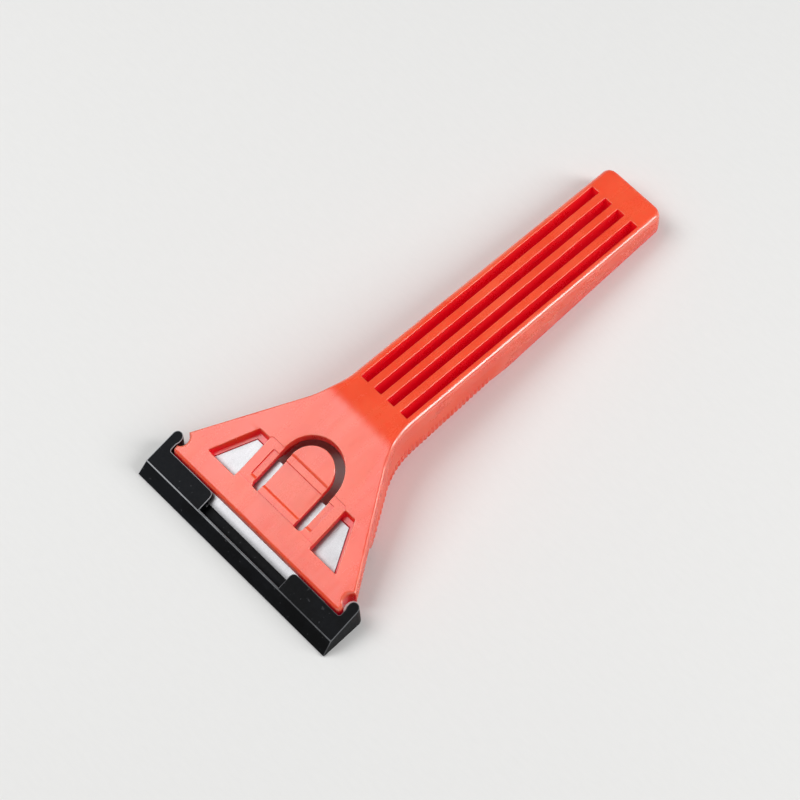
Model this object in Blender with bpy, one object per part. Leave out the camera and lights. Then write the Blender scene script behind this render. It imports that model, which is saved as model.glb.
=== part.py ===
# Wide-blade hand scraper with a clip-on blade guard.
# Metres, +Z up, blade toward -Y, handle end toward +Y, resting on the table.
import bpy
import bmesh
from math import asin, atan, cos, pi, radians, sin, sqrt, tan
from mathutils import Matrix, Vector

# Sizes along Y are counted from the front crease of the head's top face.
# Sizes across are half widths, and drops are counted down from the top face.

# Top faces of head and handle
crease_z = 0.0081
head_slope = radians(17.0)
handle_slope = radians(6.1)
bend_y = 0.0370
bend_soft = 0.0022
end_y = 0.1374

# Blade
blade_thick = 0.0006
blade_front = 0.0032
blade_back = 0.0161
blade_edge_half = 0.0267
blade_back_half = 0.01675
blade_tip_cut = 0.0006
blade_grind = 0.0013
blade_edge_thick = 0.00012
blade_gap = 0.0003
room_side_gap = 0.00035

# Outline of the moulding's top edge
lobe_wall = 0.0038
lobe_half = blade_edge_half + lobe_wall
notch_depth = 0.00145
notch_half = lobe_half - notch_depth
notch_radius = 0.00235
notch_middle = notch_half + notch_radius
notch_y = 0.00305
notch_lead = sqrt(notch_radius ** 2 - (notch_middle - lobe_half) ** 2)
shoulder_out = 0.00006
shoulder_half = lobe_half + shoulder_out
notch_run = sqrt(notch_radius ** 2 - (notch_middle - shoulder_half) ** 2)
shoulder_y = notch_y + notch_run
flare_per_length = 0.629
neck_radius = 0.0240
front_wall = 0.0007
end_corner = 0.0026

# Grooves on the handle, two on each side of the middle
groove_inner = 0.00107
groove_pitch = 0.00474
groove_width = 0.00248
groove_floor = 0.0030
groove_lead = 0.0076
groove_front = bend_y + groove_lead
end_pad = 0.0084
groove_back = end_y - end_pad
side_rib = 0.00221
handle_half = groove_inner + groove_pitch + groove_width + side_rib
handle_taper = 0.0006
handle_end_half = handle_half - handle_taper

# Release tongue and the slot round it
tongue_half = 0.0065
slot_width = 0.00255
slot_half = tongue_half + slot_width
slot_corner = 0.0013
tongue_gap = 0.0003

# Trough between the windows: a shallow ledge, and a deeper floor inside it
ledge_depth = 0.0003
ledge_margin = 0.00471
ledge_half = slot_half + ledge_margin
ledge_corner = 0.0010
ledge_front = 0.0065
ledge_run = 0.0016
floor_fall = 0.0005
floor_depth = ledge_depth + floor_fall
floor_margin = 0.00195
floor_half = slot_half + floor_margin
floor_front = ledge_front + ledge_run
front_ramp = 0.0008
floor_run = 0.0077
floor_back = floor_front + front_ramp + floor_run
rear_run = 0.0019
ledge_back = floor_back + rear_run
root_lead = 0.0001
slot_front = ledge_front - root_lead
arch_y = ledge_back

# Windows in the top plate
window_inner = ledge_half
window_back_width = 0.00354
window_outer_back = window_inner + window_back_width
window_spread = 0.0062
window_outer_front = window_outer_back + window_spread
window_front = 0.0052
window_back = 0.01775

# Plate, blade room and bed, one under the other
plate_least = 0.0021
plate_drop = floor_depth + plate_least
room_height = blade_thick + 2 * blade_gap
bed_thick = 0.0017
slab_height = plate_drop + room_height + bed_thick

# Tongue's underside, its hinge, and the peg in the blade's hole
tongue_drop = plate_drop - tongue_gap
hinge_drop = 0.0016
peg_radius = 0.0015
peg_reach = 0.0005
peg_drop = plate_drop + blade_gap + peg_reach
peg_gap = 0.0006
blade_hole_radius = peg_radius + peg_gap
hole_to_back = 0.0036
blade_hole_y = blade_back - hole_to_back

# Cross-section of the moulding
top_round = 0.0009
handle_round = 0.0014
slab_draft = 0.00025
side_foot = 0.0012
head_side_height = slab_height - side_foot
step_height = 0.0003
step_depth = 0.00045
lower_draft = 0.00020
grip_swell = 0.00030
lower_round = 0.0009
grip_round = 0.0035
head_lower_round = 0.0005
side_share = 0.6
shoulder_share = 0.36
ridge_share = 0.26
low_ridge_share = 0.3

# Grip under the neck
grip_start = 0.0170
grip_nose = 0.0050
ridge_lead = 0.0026
ridge_start = grip_start + ridge_lead
ridge_end = 0.0720
grip_run_out = 0.0080
grip_fade = ridge_end + grip_run_out
ridge_pitch = 0.0014
ridge_depth = 0.00028

# Hollow under the neck
hollow_front = 0.0162
hollow_past_bend = 0.0030
hollow_back = bend_y + hollow_past_bend
hollow_wall = 0.0034
hollow_front_half = 0.0120

# Blade guard
arm_gap = 0.0006
arm_inner = lobe_half + arm_gap
arm_thick = 0.00275
guard_half_top = arm_inner + arm_thick
guard_lean = 0.00055
guard_half_foot = guard_half_top + guard_lean
catch_reach = 0.0003
catch_inner = arm_inner - catch_reach
arm_end_gap = 0.0011
arm_end = shoulder_y - arm_end_gap
arm_corner = 0.0006
guard_gap = 0.0004
guard_rear = front_wall + guard_gap
guard_crease = 0.0068
guard_nose = 0.0031
guard_front = guard_crease + guard_nose
guard_drop = 0.00115
guard_foot_rise = 0.0004
guard_foot_step = 0.0004
guard_edge = 0.00022
pocket_side_gap = 0.0006
pocket_half = blade_edge_half + pocket_side_gap
pocket_edge_gap = 0.00065
pocket_front = blade_front + pocket_edge_gap
pocket_play = 0.00035
gate_half = 0.01465
gate_lip = 0.00045
gate_front = guard_crease - gate_lip
gate_round = 0.0014
gate_below = 0.0005
gate_drop = plate_drop + room_height + gate_below

# Middle of the whole tool, which the frame's zero lies under
mid_y = (end_y - guard_front) / 2

# Overrun of the cuts, and shares of the sizes that they follow
overrun = 0.0001
ramp_over_share = 0.15
front_shares = (0, 0.15, 0.45, 1)
nose_shares = (0, 0.02, 0.08, 0.2, 0.36)
fade_shares = (0.25, 0.5, 0.75, 1)
end_shares = (0, 0.12, 0.3, 0.5, 0.7, 0.86, 0.95, 1)


def smooth_share(value, low, high):
    share = min(1, max(0, (value - low) / (high - low)))
    return share * share * (3 - 2 * share)


def head_z(y):
    return crease_z + tan(head_slope) * y


def top_z(y):
    # Height of the top face, softened where head and handle meet
    ridge_z = head_z(bend_y)
    head_side = head_z(y)
    handle_side = ridge_z - tan(handle_slope) * (y - bend_y)
    gap = abs(y - bend_y)
    if gap >= bend_soft:
        return min(head_side, handle_side)
    soft = (bend_soft - gap) ** 2 / (4 * bend_soft)
    return min(head_side, handle_side) - soft * (tan(head_slope) + tan(handle_slope))


def neck_span():
    # The arc that joins the flare to the handle, where it starts and stops
    corner_y = shoulder_y + (shoulder_half - handle_half) / flare_per_length
    turn = atan(flare_per_length)
    tangent = neck_radius * tan(turn / 2)
    return corner_y - tangent * cos(turn), corner_y + tangent


def outline_half(y):
    # Half width of the top edge at y, ahead of the rounded end
    if y < shoulder_y:
        return lobe_outline(y)
    start_y, stop_y = neck_span()
    if y <= start_y:
        return shoulder_half - flare_per_length * (y - shoulder_y)
    if y >= stop_y:
        taper = handle_taper / (end_y - stop_y)
        return handle_half - taper * (y - stop_y)
    return handle_half + neck_radius - sqrt(neck_radius ** 2 - (stop_y - y) ** 2)


def lobe_outline(y):
    # Rounded lobe, and the round notch behind it
    lobe_start = -front_wall
    lobe_full = lobe_start + top_round
    fall = max(0, lobe_full - y) / (lobe_full - lobe_start)
    lobe = lobe_half - top_round * (1 - sqrt(max(0, 1 - fall * fall)))
    if y < notch_y - notch_lead:
        return lobe
    notch = notch_middle - sqrt(max(0, notch_radius ** 2 - (y - notch_y) ** 2))
    return min(notch, shoulder_half)


def notch_stations():
    # Places along the notch, closer where its wall turns across
    start, stop = -asin(notch_lead / notch_radius), asin(notch_run / notch_radius)
    steps = 12
    turns = [blend(start, stop, step / steps) for step in range(steps + 1)]
    return [notch_y + notch_radius * sin(turn) for turn in turns]


def grip_share(y):
    rising = smooth_share(y, grip_start, grip_start + grip_nose)
    return rising * (1 - smooth_share(y, ridge_end, grip_fade))


def foot_z(y):
    # Underside: the slab's under the head, the table's under neck and handle
    slab_z = top_z(y) - slab_height
    if y <= grip_start:
        return slab_z
    run = min(1, (y - grip_start) / grip_nose)
    return slab_z * (1 - sqrt(max(0, 1 - (1 - run) ** 2)))


def blend(low, high, share):
    return low + (high - low) * share


def ring_points(y, half_cut, top_cut, foot_cut, ridge):
    # Right half of the moulding's cross-section, from top middle to foot middle
    top = top_z(y) - top_cut
    foot = foot_z(y) + foot_cut
    half = outline_half(y) - half_cut
    grip = grip_share(y)
    handle = smooth_share(y, grip_start, grip_start + overrun)
    edge = blend(top_round, handle_round, smooth_share(y, bend_y, groove_front))
    points = [(0, top)]
    for step in range(5):
        turn = step * pi / 8
        points.append((half - edge + edge * sin(turn), top - edge + edge * cos(turn)))
    side_z = top - blend(head_side_height, slab_height, handle)
    points.append((half + slab_draft, side_z))
    step_z = side_z - step_height
    points.append((half + slab_draft - step_depth * grip, step_z))
    rounding = blend(head_lower_round, lower_round, handle) + (grip_round - lower_round) * grip
    rounding = min(rounding, (step_z - foot) * side_share)
    foot_half = half + blend(slab_draft, lower_draft, handle) + grip_swell * grip
    room = step_z - foot - rounding
    shoulder_z = foot + rounding + room * blend(side_share, shoulder_share, grip)
    ridge_z = foot + rounding + room * blend(low_ridge_share, ridge_share, grip)
    points.append((foot_half - grip_swell * grip * side_share, shoulder_z))
    points.append((foot_half - grip_swell * grip * ridge_share - ridge / 2, ridge_z))
    for step in range(5):
        turn = step * pi / 8
        spread = rounding - ridge
        x = foot_half - rounding + spread * cos(turn)
        points.append((x, foot + rounding - spread * sin(turn)))
    points.append((0, foot + ridge))
    return points


def ring_stations():
    # Station, side cut, top cut, foot cut and ridge depth of each ring
    stations = []
    for share in front_shares:
        y = -front_wall + share * front_wall
        fall = 1 - share
        stations.append((y, 0, front_wall * (1 - sqrt(1 - fall * fall)), 0, 0))
    for y in sorted([top_round - front_wall, *notch_stations(), shoulder_y + top_round]):
        if y > 0:
            stations.append((y, 0, 0, 0, 0))
    stations.append((grip_start - overrun, 0, 0, 0, 0))
    for share in nose_shares:
        stations.append((grip_start + share * grip_nose, 0, 0, 0, 0))
    half_pitch = ridge_pitch / 2
    count = int((ridge_end - ridge_start) / half_pitch)
    for step in range(count + 1):
        depth = ridge_depth * (step % 2)
        stations.append((ridge_start + step * half_pitch, 0, 0, 0, depth))
    for share in fade_shares:
        stations.append((ridge_end + share * grip_run_out, 0, 0, 0, 0))
    for share in end_shares:
        y = end_y - end_corner * (1 - share)
        side = end_corner * (1 - sqrt(1 - share * share))
        edge = max(0, handle_round - (end_y - y)) / handle_round
        lift = handle_round * (1 - sqrt(max(0, 1 - edge * edge)))
        stations.append((y, side, lift, lift, 0))
    return stations


def loft(name, rings):
    # Closed skin through rings of equal length, capped at both ends
    mesh = bpy.data.meshes.new(name)
    work = bmesh.new()
    rows = [[work.verts.new(point) for point in ring] for ring in rings]
    for row, following in zip(rows, rows[1:]):
        for index in range(len(row)):
            beside = (index + 1) % len(row)
            work.faces.new((row[index], row[beside], following[beside], following[index]))
    work.faces.new(rows[0])
    work.faces.new(rows[-1])
    bmesh.ops.recalc_face_normals(work, faces=work.faces)
    work.to_mesh(mesh)
    work.free()
    item = bpy.data.objects.new(name, mesh)
    bpy.context.scene.collection.objects.link(item)
    return item


def plate_between(name, outline, low, high):
    # Solid on a plan outline between two heights, each a function of y
    lower = [(x, y, low(y)) for x, y in outline]
    upper = [(x, y, high(y)) for x, y in outline]
    return loft(name, [lower, upper])


def arc(middle_x, middle_y, radius, start, stop, steps):
    points = []
    for step in range(steps + 1):
        turn = start + (stop - start) * step / steps
        points.append((middle_x + radius * cos(turn), middle_y + radius * sin(turn)))
    return points


def circle(radius, y, steps):
    return arc(0, y, radius, 0, 2 * pi, steps)[:-1]


def mirrored(points):
    return [(-x, y) for x, y in reversed(points)]


def use_boolean(item, other, operation):
    change = item.modifiers.new(other.name, 'BOOLEAN')
    change.operation = operation
    change.solver = 'EXACT'
    change.object = other
    other.hide_render = True
    other.display_type = 'WIRE'
    other.parent = item


def drop_from_head(depth):
    return lambda y: head_z(y) - depth


def level(height):
    return lambda y: height


def blade_slant():
    return (blade_edge_half - blade_back_half) / (blade_back + blade_front)


def blade_outline(grow):
    back = blade_back + min(grow, blade_gap)
    back_half = blade_back_half + grow - blade_slant() * (back - blade_back)
    front_half = blade_edge_half + grow
    right = [(front_half, -blade_front), (back_half, back)]
    return mirrored(right[:1]) + right + mirrored(right[1:])


def both_windows(body):
    # Straight walls down to the height of the blade's top face
    low = drop_from_head(plate_drop + blade_gap)
    for side, name in ((1, "window_cut_right"), (-1, "window_cut_left")):
        outline = [(side * window_inner, window_front), (side * window_outer_front, window_front),
                   (side * window_outer_back, window_back), (side * window_inner, window_back)]
        use_boolean(body, plate_between(name, outline, low, drop_from_head(-overrun)), 'DIFFERENCE')


def ledge_cutter():
    # The ledge opens into both windows, and its rear corners are round
    edge = ledge_half + overrun
    right = [(edge, ledge_front)]
    right += arc(edge - ledge_corner, ledge_back - ledge_corner, ledge_corner, 0, pi / 2, 5)
    low = drop_from_head(ledge_depth)
    return plate_between("ledge_cut", right + mirrored(right), low, drop_from_head(-overrun))


def floor_cutter():
    # The front ramp runs on a little above the ledge
    rings = []
    ramp_end = floor_front + front_ramp
    ramp_start = floor_front - ramp_over_share * front_ramp
    for y, share in ((ramp_start, -ramp_over_share), (ramp_end, 1), (floor_back, 1)):
        low = head_z(y) - ledge_depth - floor_fall * share
        lid = head_z(y) + overrun
        rings.append([(-floor_half, y, low), (floor_half, y, low), (floor_half, y, lid), (-floor_half, y, lid)])
    return loft("floor_cut", rings)


def slot_cutter():
    # Round corners in front, an arch at the rear
    right = arc(slot_half - slot_corner, slot_front + slot_corner, slot_corner, -pi / 2, 0, 5)
    outline = mirrored(right) + right + arc(0, arch_y, slot_half, 0, pi, 24)
    low = drop_from_head(plate_drop + overrun)
    return plate_between("slot_cut", outline, low, drop_from_head(-overrun))


def room_cutter():
    outline = blade_outline(room_side_gap)
    front = -blade_front - room_side_gap
    slant_half = outline[1][0] + blade_slant() * room_side_gap
    outline[0] = (-slant_half, front)
    outline[1] = (slant_half, front)
    low = drop_from_head(plate_drop + room_height)
    return plate_between("blade_room_cut", outline, low, drop_from_head(plate_drop))


def hollow_cutter():
    rings = []
    nose = grip_start + grip_nose
    neck_start = min(max(neck_span()[0], nose + overrun), hollow_back - overrun)
    for y in (hollow_front, nose, neck_start, hollow_back):
        half = min(hollow_front_half, outline_half(y) - hollow_wall)
        ceiling = min(head_z(y), top_z(y)) - plate_drop
        rings.append([(-half, y, -overrun), (half, y, -overrun), (half, y, ceiling), (-half, y, ceiling)])
    return loft("hollow_cut", rings)


def cut_grooves(body):
    for index in range(4):
        side = 1 if index % 2 else -1
        inner = groove_inner + (index // 2) * groove_pitch
        low_x = side * inner
        high_x = side * (inner + groove_width)
        rings = []
        for y in (groove_front, groove_back):
            high = top_z(y) + overrun
            rings.append([(low_x, y, groove_floor), (high_x, y, groove_floor),
                          (high_x, y, high), (low_x, y, high)])
        use_boolean(body, loft("groove_cut_%d" % (index + 1), rings), 'DIFFERENCE')


def make_body():
    rings = []
    for y, side_cut, top_cut, foot_cut, ridge in ring_stations():
        right = ring_points(y, side_cut, top_cut, foot_cut, ridge)
        left = [(-x, z) for x, z in reversed(right[1:-1])]
        rings.append([(x, y, z) for x, z in right + left])
    body = loft("scraper_body", rings)
    use_boolean(body, room_cutter(), 'DIFFERENCE')
    use_boolean(body, ledge_cutter(), 'DIFFERENCE')
    use_boolean(body, floor_cutter(), 'DIFFERENCE')
    both_windows(body)
    use_boolean(body, slot_cutter(), 'DIFFERENCE')
    use_boolean(body, hollow_cutter(), 'DIFFERENCE')
    cut_grooves(body)
    return body


def tongue_stations():
    # Stations along the tongue, and how far its top lies under the head's
    stations = [(slot_front + tongue_gap, ledge_depth), (floor_front, ledge_depth)]
    stations += [(floor_front + front_ramp, floor_depth), (floor_back - overrun, floor_depth)]
    stations += [(floor_back, ledge_depth), (ledge_back - overrun, ledge_depth)]
    for step in range(10):
        stations.append((arch_y + tongue_half * sin(step * pi / 20), 0))
    return stations + [(arch_y + tongue_half - overrun, 0)]


def make_tongue():
    # The tongue's root line is its hinge: the moulded bar bends there
    rings = []
    for y, depth in tongue_stations():
        back = max(0, y - arch_y)
        half = sqrt(tongue_half ** 2 - back ** 2)
        high = head_z(y) - depth
        low = head_z(y) - tongue_drop
        rings.append([(-half, y, low), (half, y, low), (half, y, high), (-half, y, high)])
    tongue = loft("release_tongue", rings)
    peg_top = level(head_z(blade_hole_y) - tongue_drop + blade_gap)
    peg_foot = level(head_z(blade_hole_y) - peg_drop)
    peg = plate_between("tongue_peg", circle(peg_radius, blade_hole_y, 24), peg_foot, peg_top)
    use_boolean(tongue, peg, 'UNION')
    return tongue


def make_blade():
    # Ground wedge along the front edge, flat plate behind it
    middle = plate_drop + blade_gap + blade_thick / 2
    rings = []
    stations = ((-blade_front, blade_edge_thick, blade_tip_cut),
                (-blade_front + blade_grind, blade_thick, 0), (blade_back, blade_thick, 0))
    for y, thick, cut in stations:
        half = blade_edge_half - blade_slant() * (y + blade_front) - cut
        low = head_z(y) - middle - thick / 2
        high = head_z(y) - middle + thick / 2
        rings.append([(-half, y, low), (half, y, low), (half, y, high), (-half, y, high)])
    blade = loft("blade", rings)
    outline = circle(blade_hole_radius, blade_hole_y, 32)
    low = drop_from_head(plate_drop + room_height)
    hole = plate_between("blade_hole_cut", outline, low, drop_from_head(plate_drop))
    use_boolean(blade, hole, 'DIFFERENCE')
    return blade


def guard_outline(half, z):
    # Plan of the guard: bar across the front and an arm with a round catch at each side
    radius = (half - catch_inner) / 2
    catch_y = arm_end - radius
    right = [(half, -guard_front - overrun), (half, catch_y)]
    right += arc(catch_inner + radius, catch_y, radius, 0, pi, 14)[1:]
    right += [(catch_inner, catch_y - radius / 2), (arm_inner, catch_y - radius)]
    right += arc(arm_inner - arm_corner, arm_corner - guard_rear, arm_corner, 0, -pi / 2, 4)
    return [(x, y, z) for x, y in right + mirrored(right)]


def guard_profile():
    # Side view of the guard: flat foot, leaning front, top beside the head's top
    rear = arm_end + arm_corner
    crease = head_z(-guard_crease) - guard_drop
    return [(-guard_front + guard_foot_step, 0), (rear, 0), (rear, head_z(rear) - guard_drop),
            (-guard_crease, crease), (-guard_front, guard_foot_rise)]


def gate_cutter():
    round_y = -guard_rear - gate_round
    right = [(gate_half, -gate_front), (gate_half, round_y)]
    right += reversed(arc(gate_half + gate_round, round_y, gate_round, pi / 2, pi, 5))
    right.append((gate_half + gate_round, shoulder_y))
    low = drop_from_head(gate_drop)
    return plate_between("guard_gate_cut", right + mirrored(right), low, drop_from_head(-gate_drop))


def pocket_cutter():
    right = [(pocket_half, -pocket_front), (pocket_half, shoulder_y)]
    low = drop_from_head(plate_drop + blade_gap + blade_thick + pocket_play)
    high = drop_from_head(plate_drop + blade_gap - pocket_play)
    return plate_between("guard_pocket_cut", right + mirrored(right), low, high)


def make_guard():
    # The plan's skin leans in from the foot to the height of the head's crease
    profile = guard_profile()
    outside = guard_half_foot + guard_lean
    guard = loft("blade_guard", [[(side * outside, y, z) for y, z in profile] for side in (-1, 1)])
    lean = guard_lean / crease_z
    low = guard_outline(guard_half_foot + lean * arm_corner, -arm_corner)
    high = guard_outline(guard_half_top - lean * arm_corner, crease_z + arm_corner)
    use_boolean(guard, loft("guard_plan", [low, high]), 'INTERSECT')
    use_boolean(guard, gate_cutter(), 'DIFFERENCE')
    use_boolean(guard, pocket_cutter(), 'DIFFERENCE')
    edge = guard.modifiers.new("edge", 'BEVEL')
    edge.width = guard_edge
    edge.segments = 2
    edge.limit_method = 'ANGLE'
    edge.angle_limit = radians(40)
    edge.harden_normals = False
    return guard


def plain_material(name, colour, roughness, metallic):
    material = bpy.data.materials.new(name)
    material.use_nodes = True
    surface = material.node_tree.nodes["Principled BSDF"]
    surface.inputs["Base Color"].default_value = colour
    surface.inputs["Roughness"].default_value = roughness
    surface.inputs["Metallic"].default_value = metallic
    return material


def body_material():
    return plain_material("orange_red_plastic", (0.83, 0.07, 0.04, 1), 0.35, 0)


def tongue_material():
    return plain_material("orange_red_tongue", (0.83, 0.07, 0.04, 1), 0.35, 0)


def blade_material():
    return plain_material("blade_steel", (0.80, 0.80, 0.82, 1), 0.25, 1)


def guard_material():
    return plain_material("black_plastic", (0.02, 0.02, 0.022, 1), 0.35, 0)


def finish(item, material, pivot):
    # The object's origin goes to its pivot, and the tool's middle to the frame's
    shift = Matrix.Translation(-pivot)
    item.data.transform(shift)
    item.location = pivot - Vector((0, mid_y, 0))
    for other in item.children:
        other.data.transform(shift)
    item.data.materials.append(material)
    item.data.shade_smooth()
    item.data.set_sharp_from_angle(angle=radians(32))


def clear_scene():
    for item in list(bpy.data.objects):
        bpy.data.objects.remove(item, do_unlink=True)


def build():
    clear_scene()
    finish(make_body(), body_material(), Vector((0, 0, 0)))
    root = slot_front + tongue_gap
    hinge = Vector((0, root, head_z(root) - hinge_drop))
    finish(make_tongue(), tongue_material(), hinge)
    finish(make_blade(), blade_material(), Vector((0, 0, 0)))
    finish(make_guard(), guard_material(), Vector((0, 0, 0)))


build()
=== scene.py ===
from math import acos, atan, cos, hypot, pi, radians, sin, sqrt, tan

import bmesh
import bpy
from mathutils import Matrix, Vector


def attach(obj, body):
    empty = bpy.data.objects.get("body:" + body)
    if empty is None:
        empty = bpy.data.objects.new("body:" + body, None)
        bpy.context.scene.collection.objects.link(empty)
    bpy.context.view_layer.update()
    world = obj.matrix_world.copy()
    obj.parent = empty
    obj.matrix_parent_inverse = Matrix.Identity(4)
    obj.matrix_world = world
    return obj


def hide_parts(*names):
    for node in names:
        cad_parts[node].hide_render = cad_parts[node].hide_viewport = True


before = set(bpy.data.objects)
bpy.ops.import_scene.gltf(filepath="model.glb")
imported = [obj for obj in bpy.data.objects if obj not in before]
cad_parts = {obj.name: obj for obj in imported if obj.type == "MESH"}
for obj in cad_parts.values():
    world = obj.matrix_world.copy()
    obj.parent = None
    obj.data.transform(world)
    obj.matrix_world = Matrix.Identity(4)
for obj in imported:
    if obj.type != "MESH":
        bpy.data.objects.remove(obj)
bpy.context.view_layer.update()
print("frame loaded:", ", ".join(sorted(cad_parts)))

mm = 0.001

# The pieces' lengths are in millimetres, and y is counted from the front crease of the head's top
toolSize = {
    "creaseHeight": 8.1, "headSlope": 17.0, "handleSlope": 6.1,       # top faces
    "bendAt": 37.0, "bendSoft": 2.25,                                 # where head and handle meet
    "endAt": 137.4, "guardFront": 9.9,                                # overall run
}
midLength = (toolSize["endAt"] - toolSize["guardFront"]) / 2          # the frame's zero lies under this
# Corners that turn less than straight stay as they are, and spike keeps a grown sharp corner short
meshSize = {"straight": 1e-4, "spike": 0.3, "weld": 0.003, "sliver": 0.001}


def mixed(low, high, share):
    return low + (high - low) * share


def eased(value, low, high):
    share = min(1, max(0, (value - low) / (high - low)))
    return share * share * (3 - 2 * share)


def headTop(y):
    return toolSize["creaseHeight"] + tan(radians(toolSize["headSlope"])) * y


def toolTop(y):
    bend, soft = toolSize["bendAt"], toolSize["bendSoft"]
    fall = tan(radians(toolSize["handleSlope"]))
    rise = tan(radians(toolSize["headSlope"]))
    lower = min(headTop(y), headTop(bend) - fall * (y - bend))
    gap = abs(y - bend)
    if gap >= soft:
        return lower
    return lower - (soft - gap) ** 2 / (4 * soft) * (rise + fall)


def underHead(drop):
    return lambda y: headTop(y) - drop


def quarterTurns(steps):
    return [step * pi / (2 * steps) for step in range(steps + 1)]


def arcPoints(x, y, radius, start, stop, steps):
    turns = [mixed(start, stop, step / steps) for step in range(steps + 1)]
    return [(x + radius * cos(turn), y + radius * sin(turn)) for turn in turns]


def mirrored(points):
    return [(-x, y) for x, y in reversed(points)]


def rounded(corners, radii, steps=6):
    # Each corner of a closed outline turned into an arc of its own radius
    outline = []
    for index, corner in enumerate(corners):
        radius = radii[index] if isinstance(radii, (list, tuple)) else radii
        before = (Vector(corner) - Vector(corners[index - 1])).normalized()
        after = (Vector(corners[(index + 1) % len(corners)]) - Vector(corner)).normalized()
        turn = before.angle(after)
        if radius <= 0 or turn < meshSize["straight"]:
            outline.append(tuple(corner))
            continue
        side = 1 if before.x * after.y - before.y * after.x > 0 else -1
        start = Vector(corner) - before * radius * tan(turn / 2)
        arm = Vector((before.y, -before.x)) * side * radius
        for step in range(steps + 1):
            angle = side * turn * step / steps
            outline.append((start.x - arm.x + arm.x * cos(angle) - arm.y * sin(angle),
                            start.y - arm.y + arm.x * sin(angle) + arm.y * cos(angle)))
    return outline


def grown(outline, distance):
    # Closed outline, counted anticlockwise, moved out along its corners
    result = []
    for index, (x, y) in enumerate(outline):
        move = distance(x, y) if callable(distance) else distance
        ax, ay = outline[index - 1]
        bx, by = outline[(index + 1) % len(outline)]
        inLong = hypot(x - ax, y - ay) or 1
        outLong = hypot(bx - x, by - y) or 1
        n1 = ((y - ay) / inLong, (ax - x) / inLong)
        n2 = ((by - y) / outLong, (x - bx) / outLong)
        share = move / max(meshSize["spike"], 1 + n1[0] * n2[0] + n1[1] * n2[1])
        result.append((x + (n1[0] + n2[0]) * share, y + (n1[1] + n2[1]) * share))
    return result


def meshPiece(name, work):
    bmesh.ops.recalc_face_normals(work, faces=work.faces)
    mesh = bpy.data.meshes.new(name)
    work.to_mesh(mesh)
    work.free()
    mesh.transform(Matrix.Translation((0, -midLength * mm, 0)) @ Matrix.Scale(mm, 4))
    piece = bpy.data.objects.new(name, mesh)
    bpy.context.scene.collection.objects.link(piece)
    return piece


def skin(work, rings, highlightRows=(), wear=1):
    # Walls between rings of equal length; faces of the listed rows are marked as rounded edges, where the
    # material paints a highlight
    edgeHighlight = work.faces.layers.float.get("edgeWear") or work.faces.layers.float.new("edgeWear")
    rows = [[work.verts.new(point) for point in ring] for ring in rings]
    for number, (row, following) in enumerate(zip(rows, rows[1:])):
        for index in range(len(row)):
            beside = (index + 1) % len(row)
            face = work.faces.new((row[index], row[beside], following[beside], following[index]))
            face[edgeHighlight] = wear if number in highlightRows else 0
    return rows


def skinned(name, rings, highlightRows=(), wear=1):
    work = bmesh.new()
    rows = skin(work, rings, highlightRows, wear)
    work.faces.new(rows[0])
    work.faces.new(rows[-1])
    return meshPiece(name, work)


def flaredCutter(name, outlineAt, surface, lid, floor, edge, depth=0, wear=1, steps=5):
    # A cutter that leaves an edge of that radius on the face it sinks into
    radius = edge if callable(edge) else lambda x, y: edge
    rings = [[(x, y, lid(y)) for x, y in grown(outlineAt(0), radius)]]
    for step in range(steps + 1):
        turn = step / steps * pi / 2
        base = outlineAt(radius(0, 0) * (1 - cos(turn)))
        outline = grown(base, lambda x, y: radius(x, y) * (1 - sin(turn)))
        drops = [radius(x, y) * (1 - cos(turn)) for x, y in base]
        rings.append([(x, y, surface(x, y) - drop) for (x, y), drop in zip(outline, drops)])
    rings.append([(x, y, floor(y)) for x, y in outlineAt(depth)])
    return skinned(name, rings, range(1, steps + 1), wear)


def cutBy(piece, cutter, operation="DIFFERENCE"):
    change = piece.modifiers.new(cutter.name, "BOOLEAN")
    change.operation = operation
    change.solver = "EXACT"
    change.object = cutter


def settled(piece, cutters=()):
    # The evaluated shape becomes a plain mesh, then the cutters go
    bpy.context.view_layer.update()
    graph = bpy.context.evaluated_depsgraph_get()
    mesh = bpy.data.meshes.new_from_object(piece.evaluated_get(graph), depsgraph=graph)
    old = piece.data
    piece.modifiers.clear()
    piece.data = mesh
    bpy.data.meshes.remove(old)
    mesh.name = piece.name
    for cutter in cutters:
        bpy.data.objects.remove(cutter, do_unlink=True)
    return piece


def cleaned(piece):
    work = bmesh.new()
    work.from_mesh(piece.data)
    bmesh.ops.remove_doubles(work, verts=work.verts, dist=meshSize["weld"] * mm)
    bmesh.ops.dissolve_degenerate(work, edges=work.edges, dist=meshSize["sliver"] * mm)
    work.to_mesh(piece.data)
    work.free()
    return piece


def dressed(piece, material):
    # One material on every face, cut faces too
    piece.data.materials.clear()
    piece.data.materials.append(material)
    piece.data.polygons.foreach_set("material_index", [0] * len(piece.data.polygons))
    return piece


def softShaded(piece, angle=32):
    # Flat faces stay flat, and the small rounded edges between them shade softly
    piece.data.shade_smooth()
    piece.data.set_sharp_from_angle(angle=radians(angle))
    change = piece.modifiers.new("flat faces", "WEIGHTED_NORMAL")
    change.keep_sharp = True
    change.weight = 80
    return settled(piece)


class Link:
    # One socket of a node tree that can stand in a sum
    def __init__(self, graph, socket):
        self.graph = graph
        self.socket = socket

    def joined(self, operation, other, swapped=False):
        first, second = (other, self) if swapped else (self, other)
        return self.graph.put("ShaderNodeMath", {"operation": operation}, {0: first, 1: second})

    def __add__(self, other):
        return self.joined("ADD", other)

    def __radd__(self, other):
        return self.joined("ADD", other, True)

    def __sub__(self, other):
        return self.joined("SUBTRACT", other)

    def __rsub__(self, other):
        return self.joined("SUBTRACT", other, True)

    def __mul__(self, other):
        return self.joined("MULTIPLY", other)

    def __rmul__(self, other):
        return self.joined("MULTIPLY", other, True)

    def __truediv__(self, other):
        return self.joined("DIVIDE", other)

    def __rtruediv__(self, other):
        return self.joined("DIVIDE", other, True)


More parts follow.
